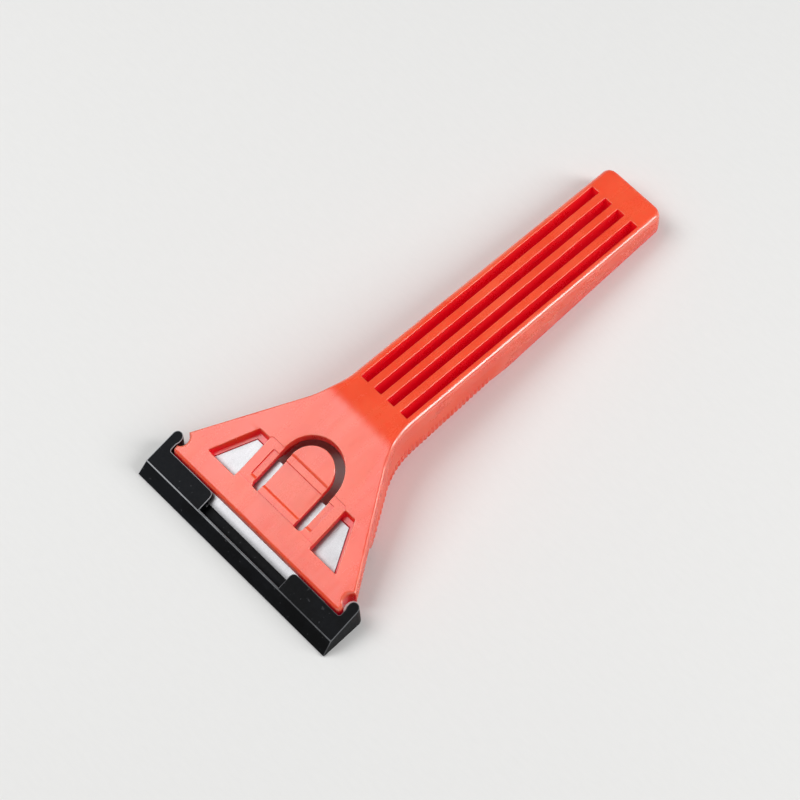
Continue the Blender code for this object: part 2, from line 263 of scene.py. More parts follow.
class Graph:
    # A node tree and the one way that nodes are put in it
    def __init__(self, tree):
        self.tree = tree

    def put(self, kind, settings=None, sockets=None, out=0):
        node = self.tree.nodes.new(kind)
        for name, value in (settings or {}).items():
            setattr(node, name, value)
        for name, value in (sockets or {}).items():
            if isinstance(value, Link):
                self.tree.links.new(value.socket, node.inputs[name])
            elif isinstance(value, list):
                for link in value:
                    self.tree.links.new(link.socket, node.inputs[name])
            else:
                node.inputs[name].default_value = value
        return Link(self, node.outputs[out])


def groupInputs(graph, sizes):
    # Named inputs of a Geometry Nodes tree, as links and as identifiers
    kinds = {float: "NodeSocketFloat", int: "NodeSocketInt"}
    names = {}
    for name, value in sizes.items():
        kind = kinds.get(type(value), "NodeSocketObject")
        socket = graph.tree.interface.new_socket(name, in_out="INPUT", socket_type=kind)
        names[name] = socket.identifier
    return names


# The orange-red moulding
headSize = {
    "lobeHalf": 30.5, "notchHalf": 29.05, "notchRadius": 2.35, "notchAt": 3.05, "notchSteps": 28,
    "shoulderHalf": 30.56, "shoulderAt": 5.245, "flare": 0.629, "neckRadius": 24.0,
    "frontWall": 0.7, "topRound": 0.9, "roundSteps": 8, "lobeSteps": 6,
    "slabHeight": 5.8, "slabDraft": 0.25, "sideHeight": 4.6, "lowerRound": 0.5,
    "plateDrop": 2.9, "roomHeight": 1.2,
}
handleSize = {
    "half": 10.5, "endHalf": 9.9, "endCorner": 2.6, "endSteps": 16, "topRound": 1.4,
    "lowerDraft": 0.2, "lowerRound": 0.9,
}
gripSize = {
    "start": 17.0, "nose": 5.0, "noseSteps": 18, "swell": 0.3, "round": 3.5, "roundShare": 0.6,
    "fadeStart": 72.0, "fadeEnd": 80.0, "stepHeight": 0.3, "stepDepth": 0.45,
    "rows": ((0.36, 0), (0.335, 0.7), (0.31, 0.95), (0.26, 1)),       # shares of height, and rib bite
    "rowSpan": 0.1, "rowSpread": 1.6, "lowInset": 0.26, "highInset": 0.6,
}
ribSize = {
    "Rib pitch": 1.4, "Rib depth": 0.28, "First rib": 19.6, "Last rib": 72.0, "steps": 10, "slack": 0.01,
}
grooveSize = {
    "front": 44.6, "back": 129.0, "width": 2.48, "inner": 1.07, "pitch": 4.74,
    # The groove edges take a quarter of the painted edge highlight
    "floor": 3.0, "edge": 0.22, "corner": 0.2, "lid": 1, "wear": 0.25,
}
# Stations between shoulder and grip, and the least run between two stations of the grip
stationSize = {"pastShoulder": 1, "slab": 11, "beforeGrip": 0.1, "least": 0.02}


def neckSpan():
    turn = atan(headSize["flare"])
    corner = headSize["shoulderAt"] + (headSize["shoulderHalf"] - handleSize["half"]) / headSize["flare"]
    tangent = headSize["neckRadius"] * tan(turn / 2)
    return corner - tangent * cos(turn), corner + tangent


def notchAngles():
    # The notch is an arc from the lobe's side to the shoulder
    radius = headSize["notchRadius"]
    middle = headSize["notchHalf"] + radius
    return [side * acos((middle - headSize[name]) / radius)
            for side, name in ((-1, "lobeHalf"), (1, "shoulderHalf"))]


def lobeHalf(y):
    start = -headSize["frontWall"]
    full = start + headSize["topRound"]
    fall = max(0, full - y) / (full - start)
    lobe = headSize["lobeHalf"] - headSize["topRound"] * (1 - sqrt(max(0, 1 - fall * fall)))
    radius, middle = headSize["notchRadius"], headSize["notchAt"]
    if y < middle + radius * sin(notchAngles()[0]):
        return lobe
    reach = sqrt(max(0, radius ** 2 - (y - middle) ** 2))
    return min(headSize["notchHalf"] + radius - reach, headSize["shoulderHalf"])


def outlineHalf(y):
    if y < headSize["shoulderAt"]:
        return lobeHalf(y)
    start, stop = neckSpan()
    if y <= start:
        return headSize["shoulderHalf"] - headSize["flare"] * (y - headSize["shoulderAt"])
    if y >= stop:
        return mixed(handleSize["half"], handleSize["endHalf"], (y - stop) / (toolSize["endAt"] - stop))
    radius = headSize["neckRadius"]
    return handleSize["half"] + radius - sqrt(radius ** 2 - (stop - y) ** 2)


def footHeight(y):
    slab = toolTop(y) - headSize["slabHeight"]
    if y <= gripSize["start"]:
        return slab
    run = min(1, (y - gripSize["start"]) / gripSize["nose"])
    return slab * (1 - sqrt(max(0, 1 - (1 - run) ** 2)))


def mouldingSection(y, sideCut, endCut):
    # Right half of the cross-section, top middle to foot middle: x, z, how far ribs bite, their direction
    top = toolTop(y) - endCut
    foot = footHeight(y) + (endCut if y > gripSize["start"] else 0)
    half = outlineHalf(y) - sideCut
    handle = eased(y, gripSize["start"], gripSize["start"] + gripSize["nose"])
    grip = handle * (1 - eased(y, gripSize["fadeStart"], gripSize["fadeEnd"]))
    turned = eased(y, toolSize["bendAt"], grooveSize["front"])
    edge = mixed(headSize["topRound"], handleSize["topRound"], turned)
    draft = headSize["slabDraft"]
    points = [(0, top, 0, 0, 0)]
    for turn in quarterTurns(headSize["roundSteps"]):
        points.append((half - edge + edge * sin(turn), top - edge + edge * cos(turn), 0, 0, 0))
    sideZ = max(top - headSize["slabHeight"], foot + headSize["slabHeight"] - headSize["sideHeight"])
    stepZ = sideZ - gripSize["stepHeight"]
    points.append((half + draft, sideZ, 0, 0, 0))
    points.append((half + draft - gripSize["stepDepth"] * grip, stepZ, 0, 0, 0))
    lower = mixed(headSize["lowerRound"], handleSize["lowerRound"], handle)
    bow = min(mixed(lower, gripSize["round"], grip), (stepZ - foot) * gripSize["roundShare"])
    footHalf = half + mixed(draft, handleSize["lowerDraft"], handle) + gripSize["swell"] * grip
    room = stepZ - foot - bow
    lowest = gripSize["rows"][-1][0]
    for share, bite in gripSize["rows"]:
        lean = mixed(gripSize["lowInset"], gripSize["highInset"], (share - lowest) / gripSize["rowSpan"])
        height = foot + bow + room * mixed(share * gripSize["rowSpread"], share, grip)
        points.append((footHalf - gripSize["swell"] * grip * lean, height, bite, 1, 0))
    for turn in quarterTurns(headSize["roundSteps"]):
        points.append((footHalf - bow + bow * cos(turn), foot + bow - bow * sin(turn),
                       1, cos(turn), -sin(turn)))
    points.append((0, foot, 1, 0, -1))
    return points


def mouldingStations():
    # Station, side cut and end cut of each ring
    wall, steps, notchSteps = headSize["frontWall"], headSize["roundSteps"], headSize["notchSteps"]
    rows = [(-wall * sin(turn), 0, wall * (1 - cos(turn))) for turn in quarterTurns(steps)[:0:-1]]
    places = [step * headSize["topRound"] / steps for step in range(headSize["lobeSteps"])]
    start, stop = notchAngles()
    for step in range(notchSteps + 1):
        turn = mixed(start, stop, step / notchSteps)
        places.append(headSize["notchAt"] + headSize["notchRadius"] * sin(turn))
    places += [headSize["shoulderAt"] + stationSize["pastShoulder"], stationSize["slab"],
               gripSize["start"] - stationSize["beforeGrip"]]
    turns = quarterTurns(gripSize["noseSteps"])
    grip = [gripSize["start"] + gripSize["nose"] * (1 - cos(turn)) for turn in turns]
    pitch = ribSize["Rib pitch"] / ribSize["steps"]
    count = round((ribSize["Last rib"] - ribSize["First rib"]) / pitch)
    grip = sorted(grip + [ribSize["First rib"] + pitch * step for step in range(count + 1)])
    places += [place for index, place in enumerate(grip)
               if index == 0 or place - grip[index - 1] > stationSize["least"]]
    fade = round(gripSize["fadeEnd"] - gripSize["fadeStart"])
    places += [gripSize["fadeStart"] + step for step in range(1, fade + 1)]
    rows += [(place, 0, 0) for place in places]
    corner, lip = handleSize["endCorner"], handleSize["topRound"]
    for turn in quarterTurns(handleSize["endSteps"]):
        y = toolSize["endAt"] - corner * (1 - sin(turn))
        near = max(0, lip - (toolSize["endAt"] - y)) / lip
        rows.append((y, corner * (1 - cos(turn)), lip * (1 - sqrt(max(0, 1 - near * near)))))
    return rows


def makeMouldingSkin():
    work = bmesh.new()
    bite = work.verts.layers.float.new("ribBite")
    out = work.verts.layers.float_vector.new("ribOut")
    rows = []
    for y, sideCut, endCut in mouldingStations():
        right = mouldingSection(y, sideCut, endCut)
        left = [(-x, z, b, -dx, dz) for x, z, b, dx, dz in reversed(right[1:-1])]
        inside = ribSize["First rib"] <= y <= ribSize["Last rib"] + ribSize["slack"]
        row = []
        for x, z, b, dx, dz in right + left:
            vert = work.verts.new((x, y, z))
            vert[bite] = b if inside else 0
            vert[out] = (dx, 0, dz)
            row.append(vert)
        rows.append(row)
    # The faces of the rounded top edges are marked for the painted highlight
    edgeHighlight = work.faces.layers.float.new("edgeWear")
    steps = headSize["roundSteps"]
    for row, following in zip(rows, rows[1:]):
        for index in range(len(row)):
            beside = (index + 1) % len(row)
            face = work.faces.new((row[index], row[beside], following[beside], following[index]))
            step = min(index, len(row) - 1 - index)
            face[edgeHighlight] = sin(pi * (step - 0.5) / steps) if 1 <= step <= steps else 0
    work.faces.new(rows[0])
    work.faces.new(rows[-1])
    return meshPiece("scraperMoulding", work)


def makeGrooveCutter():
    size = grooveSize
    half = size["width"] / 2
    corners = [(-half, size["front"]), (half, size["front"]), (half, size["back"]), (-half, size["back"])]
    outline = rounded(corners, size["corner"], 4)
    return flaredCutter("grooveCutter", lambda drop: outline, lambda x, y: toolTop(y),
                        lambda y: toolTop(y) + size["lid"], lambda y: size["floor"], size["edge"],
                        wear=size["wear"])


def ribsAndOpenings(piece, groove, openings, material):
    # Cross ribs pressed into the grip, a row of grooves on each side of the middle, and the head's openings
    tree = bpy.data.node_groups.new("gripRibsAndOpenings", "GeometryNodeTree")
    graph = Graph(tree)
    tree.interface.new_socket("Geometry", in_out="INPUT", socket_type="NodeSocketGeometry")
    tree.interface.new_socket("Geometry", in_out="OUTPUT", socket_type="NodeSocketGeometry")
    sizes = {
        "Rib pitch": ribSize["Rib pitch"] * mm, "Rib depth": ribSize["Rib depth"] * mm,
        "First rib": (ribSize["First rib"] - midLength) * mm,
        "Grooves a side": 2, "Groove pitch": grooveSize["pitch"] * mm,
        "First groove": (grooveSize["inner"] + grooveSize["width"] / 2) * mm, "Groove cutter": groove,
    }
    sizes.update({opening.name: opening for opening in openings})
    names = groupInputs(graph, sizes)
    start = tree.nodes.new("NodeGroupInput")
    read = {name: Link(graph, start.outputs[name]) for name in ["Geometry", *sizes]}

    place = graph.put("GeometryNodeInputPosition")
    along = graph.put("ShaderNodeSeparateXYZ", None, {0: place}, "Y")
    turn = (along - read["First rib"]) / read["Rib pitch"] * pi
    crest = graph.put("ShaderNodeMath", {"operation": "COSINE"}, {0: turn})
    valley = 1 - graph.put("ShaderNodeMath", {"operation": "ABSOLUTE"}, {0: crest})
    bite = graph.put("GeometryNodeInputNamedAttribute", {"data_type": "FLOAT"}, {"Name": "ribBite"})
    out = graph.put("GeometryNodeInputNamedAttribute", {"data_type": "FLOAT_VECTOR"}, {"Name": "ribOut"})
    push = graph.put("ShaderNodeVectorMath", {"operation": "SCALE"},
                     {0: out, "Scale": valley * bite * read["Rib depth"] * -1})
    ribbed = graph.put("GeometryNodeSetPosition", None, {"Geometry": read["Geometry"], "Offset": push})

    step = graph.put("ShaderNodeCombineXYZ", None, {"X": read["Groove pitch"]})
    first = graph.put("ShaderNodeCombineXYZ", None, {"X": read["First groove"]})
    line = graph.put("GeometryNodeMeshLine", {"mode": "OFFSET"},
                     {"Count": read["Grooves a side"], "Start Location": first, "Offset": step})
    shape = graph.put("GeometryNodeObjectInfo", None, {"Object": read["Groove cutter"]}, "Geometry")
    row = graph.put("GeometryNodeInstanceOnPoints", None, {"Points": line, "Instance": shape})
    right = graph.put("GeometryNodeRealizeInstances", None, {0: row})
    turned = graph.put("GeometryNodeTransform", None, {"Geometry": right, "Scale": (-1, 1, 1)})
    left = graph.put("GeometryNodeFlipFaces", None, {0: turned})
    both = graph.put("GeometryNodeJoinGeometry", None, {0: [right, left]})
    holes = [graph.put("GeometryNodeObjectInfo", None, {"Object": read[opening.name]}, "Geometry")
             for opening in openings]
    cut = graph.put("GeometryNodeMeshBoolean", {"operation": "DIFFERENCE", "solver": "EXACT"},
                    {"Mesh 1": ribbed, "Mesh 2": [both, *holes]})
    whole = graph.put("GeometryNodeRealizeInstances", None, {0: cut})
    done = graph.put("GeometryNodeSetMaterial", None, {"Geometry": whole, "Material": material})
    end = tree.nodes.new("NodeGroupOutput")
    tree.links.new(done.socket, end.inputs[0])

    change = piece.modifiers.new("ribs and openings", "NODES")
    change.node_group = tree
    for name, value in sizes.items():
        change[names[name]] = value


# Openings in the head. The lids of their cutters stand at different heights over it, so none coincide
lidSize = {"ledge": 2, "floor": 2.1, "window": 2.2, "slot": 2.3}
troughSize = {
    "ledgeDepth": 0.3, "ledgeHalf": 13.76, "ledgeFront": 6.5, "ledgeBack": 18.5, "ledgeCorner": 1.0,
    "floorDepth": 0.8, "floorHalf": 11.0, "floorFront": 8.1, "rampEnd": 8.9, "floorBack": 16.6,
    "floorCorner": 0.35, "edge": 0.1, "step": 0.05, "overlap": 0.05,
}
windowSize = {
    "inner": 13.76, "front": 5.2, "back": 17.75, "outerFront": 23.5, "outerBack": 17.3,
    "draft": 0.2, "corner": 0.3, "edge": 0.22, "ledgeReach": 0.02,
}
slotSize = {
    "half": 9.05, "front": 6.4, "archAt": 18.5, "corner": 1.3, "edge": 0.2, "apart": 0.1, "past": 0.1,
    "rootStart": -0.1, "rootEnd": 0.3, "rootSlope": 3,                # where the edge fades out at the root
}
hollowSize = {
    "front": 16.2, "back": 40.0, "wall": 3.4, "frontHalf": 12.0, "corner": 1.2, "foot": -1, "steps": 24,
}
bladeSize = {
    "thick": 0.6, "front": 3.2, "back": 16.1, "edgeHalf": 26.7, "backHalf": 16.75, "tipCut": 0.6,
    "grind": 1.3, "edgeThick": 0.12, "holeAt": 12.5, "holeRadius": 2.1, "drop": 3.2,
    "sideGap": 0.27, "backGap": 0.3, "chamfer": 0.05,
    "honed": 0.25, "honedThick": 1.6, "honedCut": 0.6, "edgeShare": 0.5,      # the fine bevel at the edge
    "holeLow": 2, "holeHigh": 20,
}
tongueSize = {
    "half": 6.5, "root": 6.43, "rootFade": 0.3, "archAt": 18.5, "apart": 0.01, "edge": 0.2, "edgeSteps": 5,
    "foot": 2.6, "footInset": 0.01, "footLip": 0.05,
    "pegAt": 12.5, "pegRadius": 1.5, "pegFoot": 3.7, "pegChamfer": 0.2, "pegTop": 0.3,
}


def troughTop(y):
    # Height of the trough's middle: ledge, ramp, floor and ledge again
    size = troughSize
    ledge = eased(y, size["ledgeFront"] - size["step"], size["ledgeFront"] + size["step"])
    ledge *= 1 - eased(y, size["ledgeBack"] - size["step"], size["ledgeBack"] + size["step"])
    floor = eased(y, size["floorFront"], size["rampEnd"])
    floor *= 1 - eased(y, size["floorBack"] - size["step"], size["floorBack"] + size["step"])
    return headTop(y) - size["ledgeDepth"] * ledge - (size["floorDepth"] - size["ledgeDepth"]) * floor


def troughPlaces():
    size, places = troughSize, []
    for place in (size["ledgeFront"], size["floorBack"], size["ledgeBack"]):
        places += [place + size["step"] * step / 2 for step in range(-2, 3)]
    places += [mixed(size["floorFront"], size["rampEnd"], step / 8) for step in range(9)]
    return sorted(places)


def makeLedgeCutter():
    size = troughSize
    half, back = size["ledgeHalf"] + size["overlap"], size["ledgeBack"]
    outline = rounded([(-half, size["ledgeFront"]), (half, size["ledgeFront"]), (half, back), (-half, back)],
                      [0, 0, size["ledgeCorner"], size["ledgeCorner"]], 8)
    return flaredCutter("ledgeCutter", lambda drop: outline, lambda x, y: headTop(y),
                        underHead(-lidSize["ledge"]), underHead(size["ledgeDepth"]), size["edge"])


def makeFloorCutter():
    size = troughSize
    half, fall = size["floorHalf"], size["floorDepth"] - size["ledgeDepth"]

    def outlineAt(drop):
        front = mixed(size["floorFront"], size["rampEnd"], drop / fall)
        corners = [(-half, front), (half, front), (half, size["floorBack"]), (-half, size["floorBack"])]
        return rounded(corners, size["floorCorner"], 5)
    return flaredCutter("floorCutter", outlineAt, lambda x, y: headTop(y) - size["ledgeDepth"],
                        underHead(-lidSize["floor"]), underHead(size["floorDepth"]), size["edge"], fall)


def makeWindowCutter(side):
    size, trough = windowSize, troughSize
    steps = [y for y in troughPlaces() if abs(y - trough["ledgeFront"]) < 2 * trough["step"]]

    def outlineAt(drop):
        front = size["front"] + size["draft"] * drop / bladeSize["drop"]
        corners = [(size["inner"], front), (size["outerFront"], front),
                   (size["outerBack"], size["back"]), (size["inner"], size["back"])]
        corners += [(size["inner"], y) for y in reversed(steps)]
        outline = rounded(corners, [size["corner"]] * 4 + [0] * len(steps), 4)
        return outline if side > 0 else mirrored(outline)

    def surface(x, y):
        # The inner edge lies on the trough's ledge
        inside = 1 - eased(abs(x), size["inner"] + size["ledgeReach"], size["inner"] + size["corner"])
        ledge = eased(y, trough["ledgeFront"] - trough["step"], trough["ledgeFront"] + trough["step"])
        return headTop(y) - trough["ledgeDepth"] * ledge * inside
    name = "windowCutterRight" if side > 0 else "windowCutterLeft"
    return flaredCutter(name, outlineAt, surface, underHead(-lidSize["window"]),
                        underHead(bladeSize["drop"]), size["edge"], bladeSize["drop"])


def makeSlotCutter():
    size, root = slotSize, tongueSize["half"]
    low, high = size["front"] + size["corner"] + size["apart"], size["archAt"] - size["apart"]
    right = [(root + size["rootStart"], size["front"]), (root + size["rootEnd"], size["front"]),
             (size["half"], size["front"])]
    right += [(size["half"], y) for y in troughPlaces() if low < y < high]
    arch = arcPoints(0, size["archAt"], size["half"], 0, pi, 48)
    corners = [*right, *arch, *mirrored(right)]
    radii = [size["corner"] if abs(corner[0]) == size["half"] and corner[1] == size["front"] else 0
             for corner in corners]
    outline = rounded(corners, radii, 8)

    def edge(x, y):
        # No rounded edge where the tongue grows out of the plate
        away = max(abs(x) - root, (y - size["front"]) * size["rootSlope"])
        return size["edge"] * eased(away, size["rootStart"], size["rootEnd"])
    return flaredCutter("slotCutter", lambda drop: outline, lambda x, y: troughTop(y),
                        underHead(-lidSize["slot"]), underHead(headSize["plateDrop"] + size["past"]), edge)


def makeRoomCutter():
    size = bladeSize
    slant = (size["edgeHalf"] - size["backHalf"]) / (size["back"] + size["front"])
    right = []
    for y in (-size["front"] - size["backGap"], size["back"] + size["backGap"]):
        right.append((size["edgeHalf"] + size["sideGap"] - slant * (y + size["front"]), y))
    outline = right + mirrored(right)
    low, high = headSize["plateDrop"] + headSize["roomHeight"], headSize["plateDrop"]
    rings = [[(x, y, headTop(y) - drop) for x, y in outline] for drop in (low, high)]
    return skinned("bladeRoomCutter", rings)


def makeHollowCutter():
    size = hollowSize
    rings = []
    for step in range(size["steps"] + 1):
        y = mixed(size["front"], size["back"], step / size["steps"])
        half = min(size["frontHalf"], outlineHalf(y) - size["wall"])
        ceiling = min(headTop(y), toolTop(y)) - headSize["plateDrop"]
        corner = min(size["corner"], half / 2)
        arch = arcPoints(half - corner, ceiling - corner, corner, 0, pi / 2, 5)
        right = [(half, size["foot"]), *arch]
        rings.append([(x, y, z) for x, z in right + mirrored(right)])
    return skinned("hollowCutter", rings)


def makeMoulding(material):
    piece = makeMouldingSkin()
    groove = makeGrooveCutter()
    openings = [makeRoomCutter(), makeLedgeCutter(), makeFloorCutter(), makeWindowCutter(1),
                makeWindowCutter(-1), makeSlotCutter(), makeHollowCutter()]
    ribsAndOpenings(piece, groove, openings, material)
    settled(piece, [groove, *openings])
    return softShaded(cleaned(dressed(piece, material)))


# The latch tongue
def makeTongue(material):
    size = tongueSize
    sides = [y for y in troughPlaces() if size["root"] < y < size["archAt"] - size["apart"]]
    arch = arcPoints(0, size["archAt"], size["half"], 0, pi / 2, 28)
    right = [(size["half"], size["root"]), *[(size["half"], y) for y in sides], *arch[:-1]]
    outline = [*right, (0, size["archAt"] + size["half"]), *mirrored(right)]
    work = bmesh.new()
    foot = [(x, y, headTop(y) - size["foot"]) for x, y in grown(outline, -size["footInset"])]
    rings = [foot, [(x, y, headTop(y) - size["foot"] + size["footLip"]) for x, y in outline]]
    fadeEnd, steps = size["root"] + size["rootFade"], size["edgeSteps"]
    radius = {y: size["edge"] * eased(y, size["root"], fadeEnd) for x, y in outline}
    for step in range(steps, -1, -1):
        turn = step / steps * pi / 2
        ring = grown(outline, lambda x, y: -radius[y] * (1 - sin(turn)))
        rings.append([(x, y, troughTop(y) - radius[place] * (1 - cos(turn)))
                      for (x, y), (side, place) in zip(ring, outline)])
    rows = skin(work, rings, range(2, steps + 2))
    work.faces.new(rows[0])
    lid, count = rows[-1], len(right)
    for index in range(count - 1):
        work.faces.new((lid[index], lid[index + 1], lid[-2 - index], lid[-1 - index]))
    work.faces.new((lid[count - 1], lid[count], lid[count + 1]))
    piece = meshPiece("latchTongue", work)
    rings = []
    for radius, z in ((size["pegRadius"] - size["pegChamfer"], -size["pegFoot"]),
                      (size["pegRadius"], -size["pegFoot"] + size["pegChamfer"]),
                      (size["pegRadius"], -size["foot"] + size["pegTop"])):
        rings.append([(x, y, headTop(size["pegAt"]) + z)
                      for x, y in arcPoints(0, size["pegAt"], radius, 0, 2 * pi, 32)[:-1]])
    peg = skinned("pegShape", rings)
    cutBy(piece, peg, "UNION")
    settled(piece, [peg])
    return softShaded(cleaned(dressed(piece, material)))


# The blade
def makeBlade(material):
    size = bladeSize
    slant = (size["edgeHalf"] - size["backHalf"]) / (size["back"] + size["front"])
    middle = size["drop"] + size["thick"] / 2
    chamfer = size["chamfer"]
    rings = []
    honed, grind = -size["front"] + size["honed"], -size["front"] + size["grind"]
    stations = [(-size["front"], size["edgeThick"] * size["edgeShare"], size["tipCut"]),
                (honed, size["edgeThick"] * size["honedThick"], size["tipCut"] * size["honedCut"]),
                (grind, size["thick"], 0), (size["back"] - chamfer, size["thick"], 0),
                (size["back"], size["thick"] - 2 * chamfer, chamfer)]
    for y, thick, cut in stations:
        half = size["edgeHalf"] - slant * (y + size["front"]) - cut
        low, high = headTop(y) - middle - thick / 2, headTop(y) - middle + thick / 2
        edge = min(chamfer, thick / 3)
        right = [(half - edge, low), (half, low + edge), (half, high - edge), (half - edge, high)]
        rings.append([(x, y, z) for x, z in right + mirrored(right)])
    piece = skinned("trapezoidBlade", rings)
    outline = arcPoints(0, size["holeAt"], size["holeRadius"], 0, 2 * pi, 48)[:-1]
    levels = size["holeLow"], size["holeHigh"]
    hole = skinned("holeCutter", [[(x, y, z) for x, y in outline] for z in levels])
    cutBy(piece, hole)
    settled(piece, [hole])
    return softShaded(cleaned(dressed(piece, material)), 20)


# The black guard
guardSize = {
    "halfTop": 33.84, "halfFoot": 34.39, "drop": 1.15, "crease": 6.8, "footRise": 0.4, "footStep": 0.4,
    "rear": 1.1, "armInner": 31.1, "armEnd": 4.145, "bulbInner": 30.8, "armCorner": 0.6,
    "gateHalf": 14.65, "gateFront": 6.35, "gateRound": 1.4, "gateDrop": 4.6,
    "pocketHalf": 27.3, "pocketFront": 3.85, "pocketPlay": 0.35, "frontInset": 0.015,
    "edge": 0.19, "edgeAngle": 35, "edgeSegments": 4,
    "blankHalf": 40, "planFront": 0.1, "planOver": 1, "cutRear": 6,   # blank and cutters reach past it
}


def guardOutline(half, z):
    size = guardSize
    radius = (half - size["bulbInner"]) / 2
    bulbAt = size["armEnd"] - radius
    right = [(half, -toolSize["guardFront"] - size["planFront"]), (half, bulbAt)]
    right += arcPoints(size["bulbInner"] + radius, bulbAt, radius, 0, pi, 28)[1:]
    right += [(size["bulbInner"], bulbAt - radius / 2), (size["armInner"], bulbAt - radius)]
    right += arcPoints(size["armInner"] - size["armCorner"], size["armCorner"] - size["rear"],
                       size["armCorner"], 0, -pi / 2, 6)
    return [(x, y, z) for x, y in right + mirrored(right)]


def outerEdges(piece, angle):
    # Outward edges sharper than the angle are the ones that a bevel rounds
    work = bmesh.new()
    work.from_mesh(piece.data)
    weight = work.edges.layers.float.new("bevel_weight_edge")
    for edge in work.edges:
        if edge.is_convex and edge.calc_face_angle(0) > radians(angle):
            edge[weight] = 1
    work.to_mesh(piece.data)
    work.free()


def makeGuard(material):
    size = guardSize
    front, rear = toolSize["guardFront"] - size["frontInset"], size["armEnd"] + size["armCorner"]
    profile = [(-front + size["footStep"], 0), (rear, 0), (rear, headTop(rear) - size["drop"]),
               (-size["crease"], headTop(-size["crease"]) - size["drop"]), (-front, size["footRise"])]
    half, over = size["blankHalf"], size["planOver"]
    piece = skinned("bladeGuard", [[(side * half, y, z) for y, z in profile] for side in (-1, 1)])
    lean = (size["halfFoot"] - size["halfTop"]) / headTop(0) * over
    plan = skinned("guardPlan", [guardOutline(size["halfFoot"] + lean, -over),
                                 guardOutline(size["halfTop"] - lean, headTop(0) + over)])
    cutBy(piece, plan, "INTERSECT")
    roundAt = -size["rear"] - size["gateRound"]
    right = [(size["gateHalf"], -size["gateFront"]), (size["gateHalf"], roundAt)]
    wide = size["gateHalf"] + size["gateRound"]
    right += reversed(arcPoints(wide, roundAt, size["gateRound"], pi / 2, pi, 8))
    right.append((wide, size["cutRear"]))
    outline = right + mirrored(right)
    gate = skinned("gateCutter", [[(x, y, headTop(y) + side * size["gateDrop"]) for x, y in outline]
                                  for side in (-1, 1)])
    cutBy(piece, gate)
    right = [(size["pocketHalf"], -size["pocketFront"]), (size["pocketHalf"], size["cutRear"])]
    outline = right + mirrored(right)
    low = bladeSize["drop"] + bladeSize["thick"] + size["pocketPlay"]
    high = bladeSize["drop"] - size["pocketPlay"]
    rings = [[(x, y, headTop(y) - drop) for x, y in outline] for drop in (low, high)]
    pocket = skinned("pocketCutter", rings)
    cutBy(piece, pocket)
    settled(piece, [plan, gate, pocket])
    outerEdges(cleaned(dressed(piece, material)), size["edgeAngle"])
    piece.data.materials.append(material)                 # a second slot marks the rounded edges
    edge = piece.modifiers.new("edges", "BEVEL")
    edge.width = size["edge"] * mm
    edge.segments = size["edgeSegments"]
    edge.limit_method = "WEIGHT"
    edge.use_clamp_overlap = False
    edge.material = 1
    settled(piece)
    # The bevel faces are marked for the painted edge highlight
    edgeHighlight = piece.data.attributes.get("edgeWear") or piece.data.attributes.new("edgeWear", "FLOAT", "FACE")
    edgeHighlight.data.foreach_set("value", [float(face.material_index) for face in piece.data.polygons])
    return softShaded(cleaned(dressed(piece, material)))


# Materials
def newMaterial(name, settings):
    material = bpy.data.materials.new(name)
    material.use_nodes = True
    surface = material.node_tree.nodes["Principled BSDF"]
    for socket, value in settings.items():
        surface.inputs[socket].default_value = value
    return material, Graph(material.node_tree), surface


def noiseAt(graph, place, scale, detail=2, rough=0.5):
    return graph.put("ShaderNodeTexNoise", None,
                     {"Vector": place, "Scale": scale, "Detail": detail, "Roughness": rough}, "Fac")


def stretched(graph, place, scale, turn=(0, 0, 0)):
    return graph.put("ShaderNodeMapping", None, {"Vector": place, "Scale": scale, "Rotation": turn})


def kept(graph, value, low, high, bottom=0, top=1):
    # A value's run from low to high spread over bottom to top, smooth at both ends
    return graph.put("ShaderNodeMapRange", {"interpolation_type": "SMOOTHSTEP"},
                     {"Value": value, "From Min": low, "From Max": high, "To Min": bottom, "To Max": top})


def tinted(graph, share, first, second):
    # Colour between two colours or links
    first = first if isinstance(first, Link) else (*first, 1)
    second = second if isinstance(second, Link) else (*second, 1)
    return graph.put("ShaderNodeMix", {"data_type": "RGBA"}, {0: share, 6: first, 7: second}, 2)


def bumped(graph, height, distance, strength=1, under=None):
    sockets = {"Height": height, "Distance": distance, "Strength": strength}
    if under:
        sockets["Normal"] = under
    return graph.put("ShaderNodeBump", None, sockets)


def fed(graph, surface, sockets):
    for name, link in sockets.items():
        graph.tree.links.new(link.socket, surface.inputs[name])


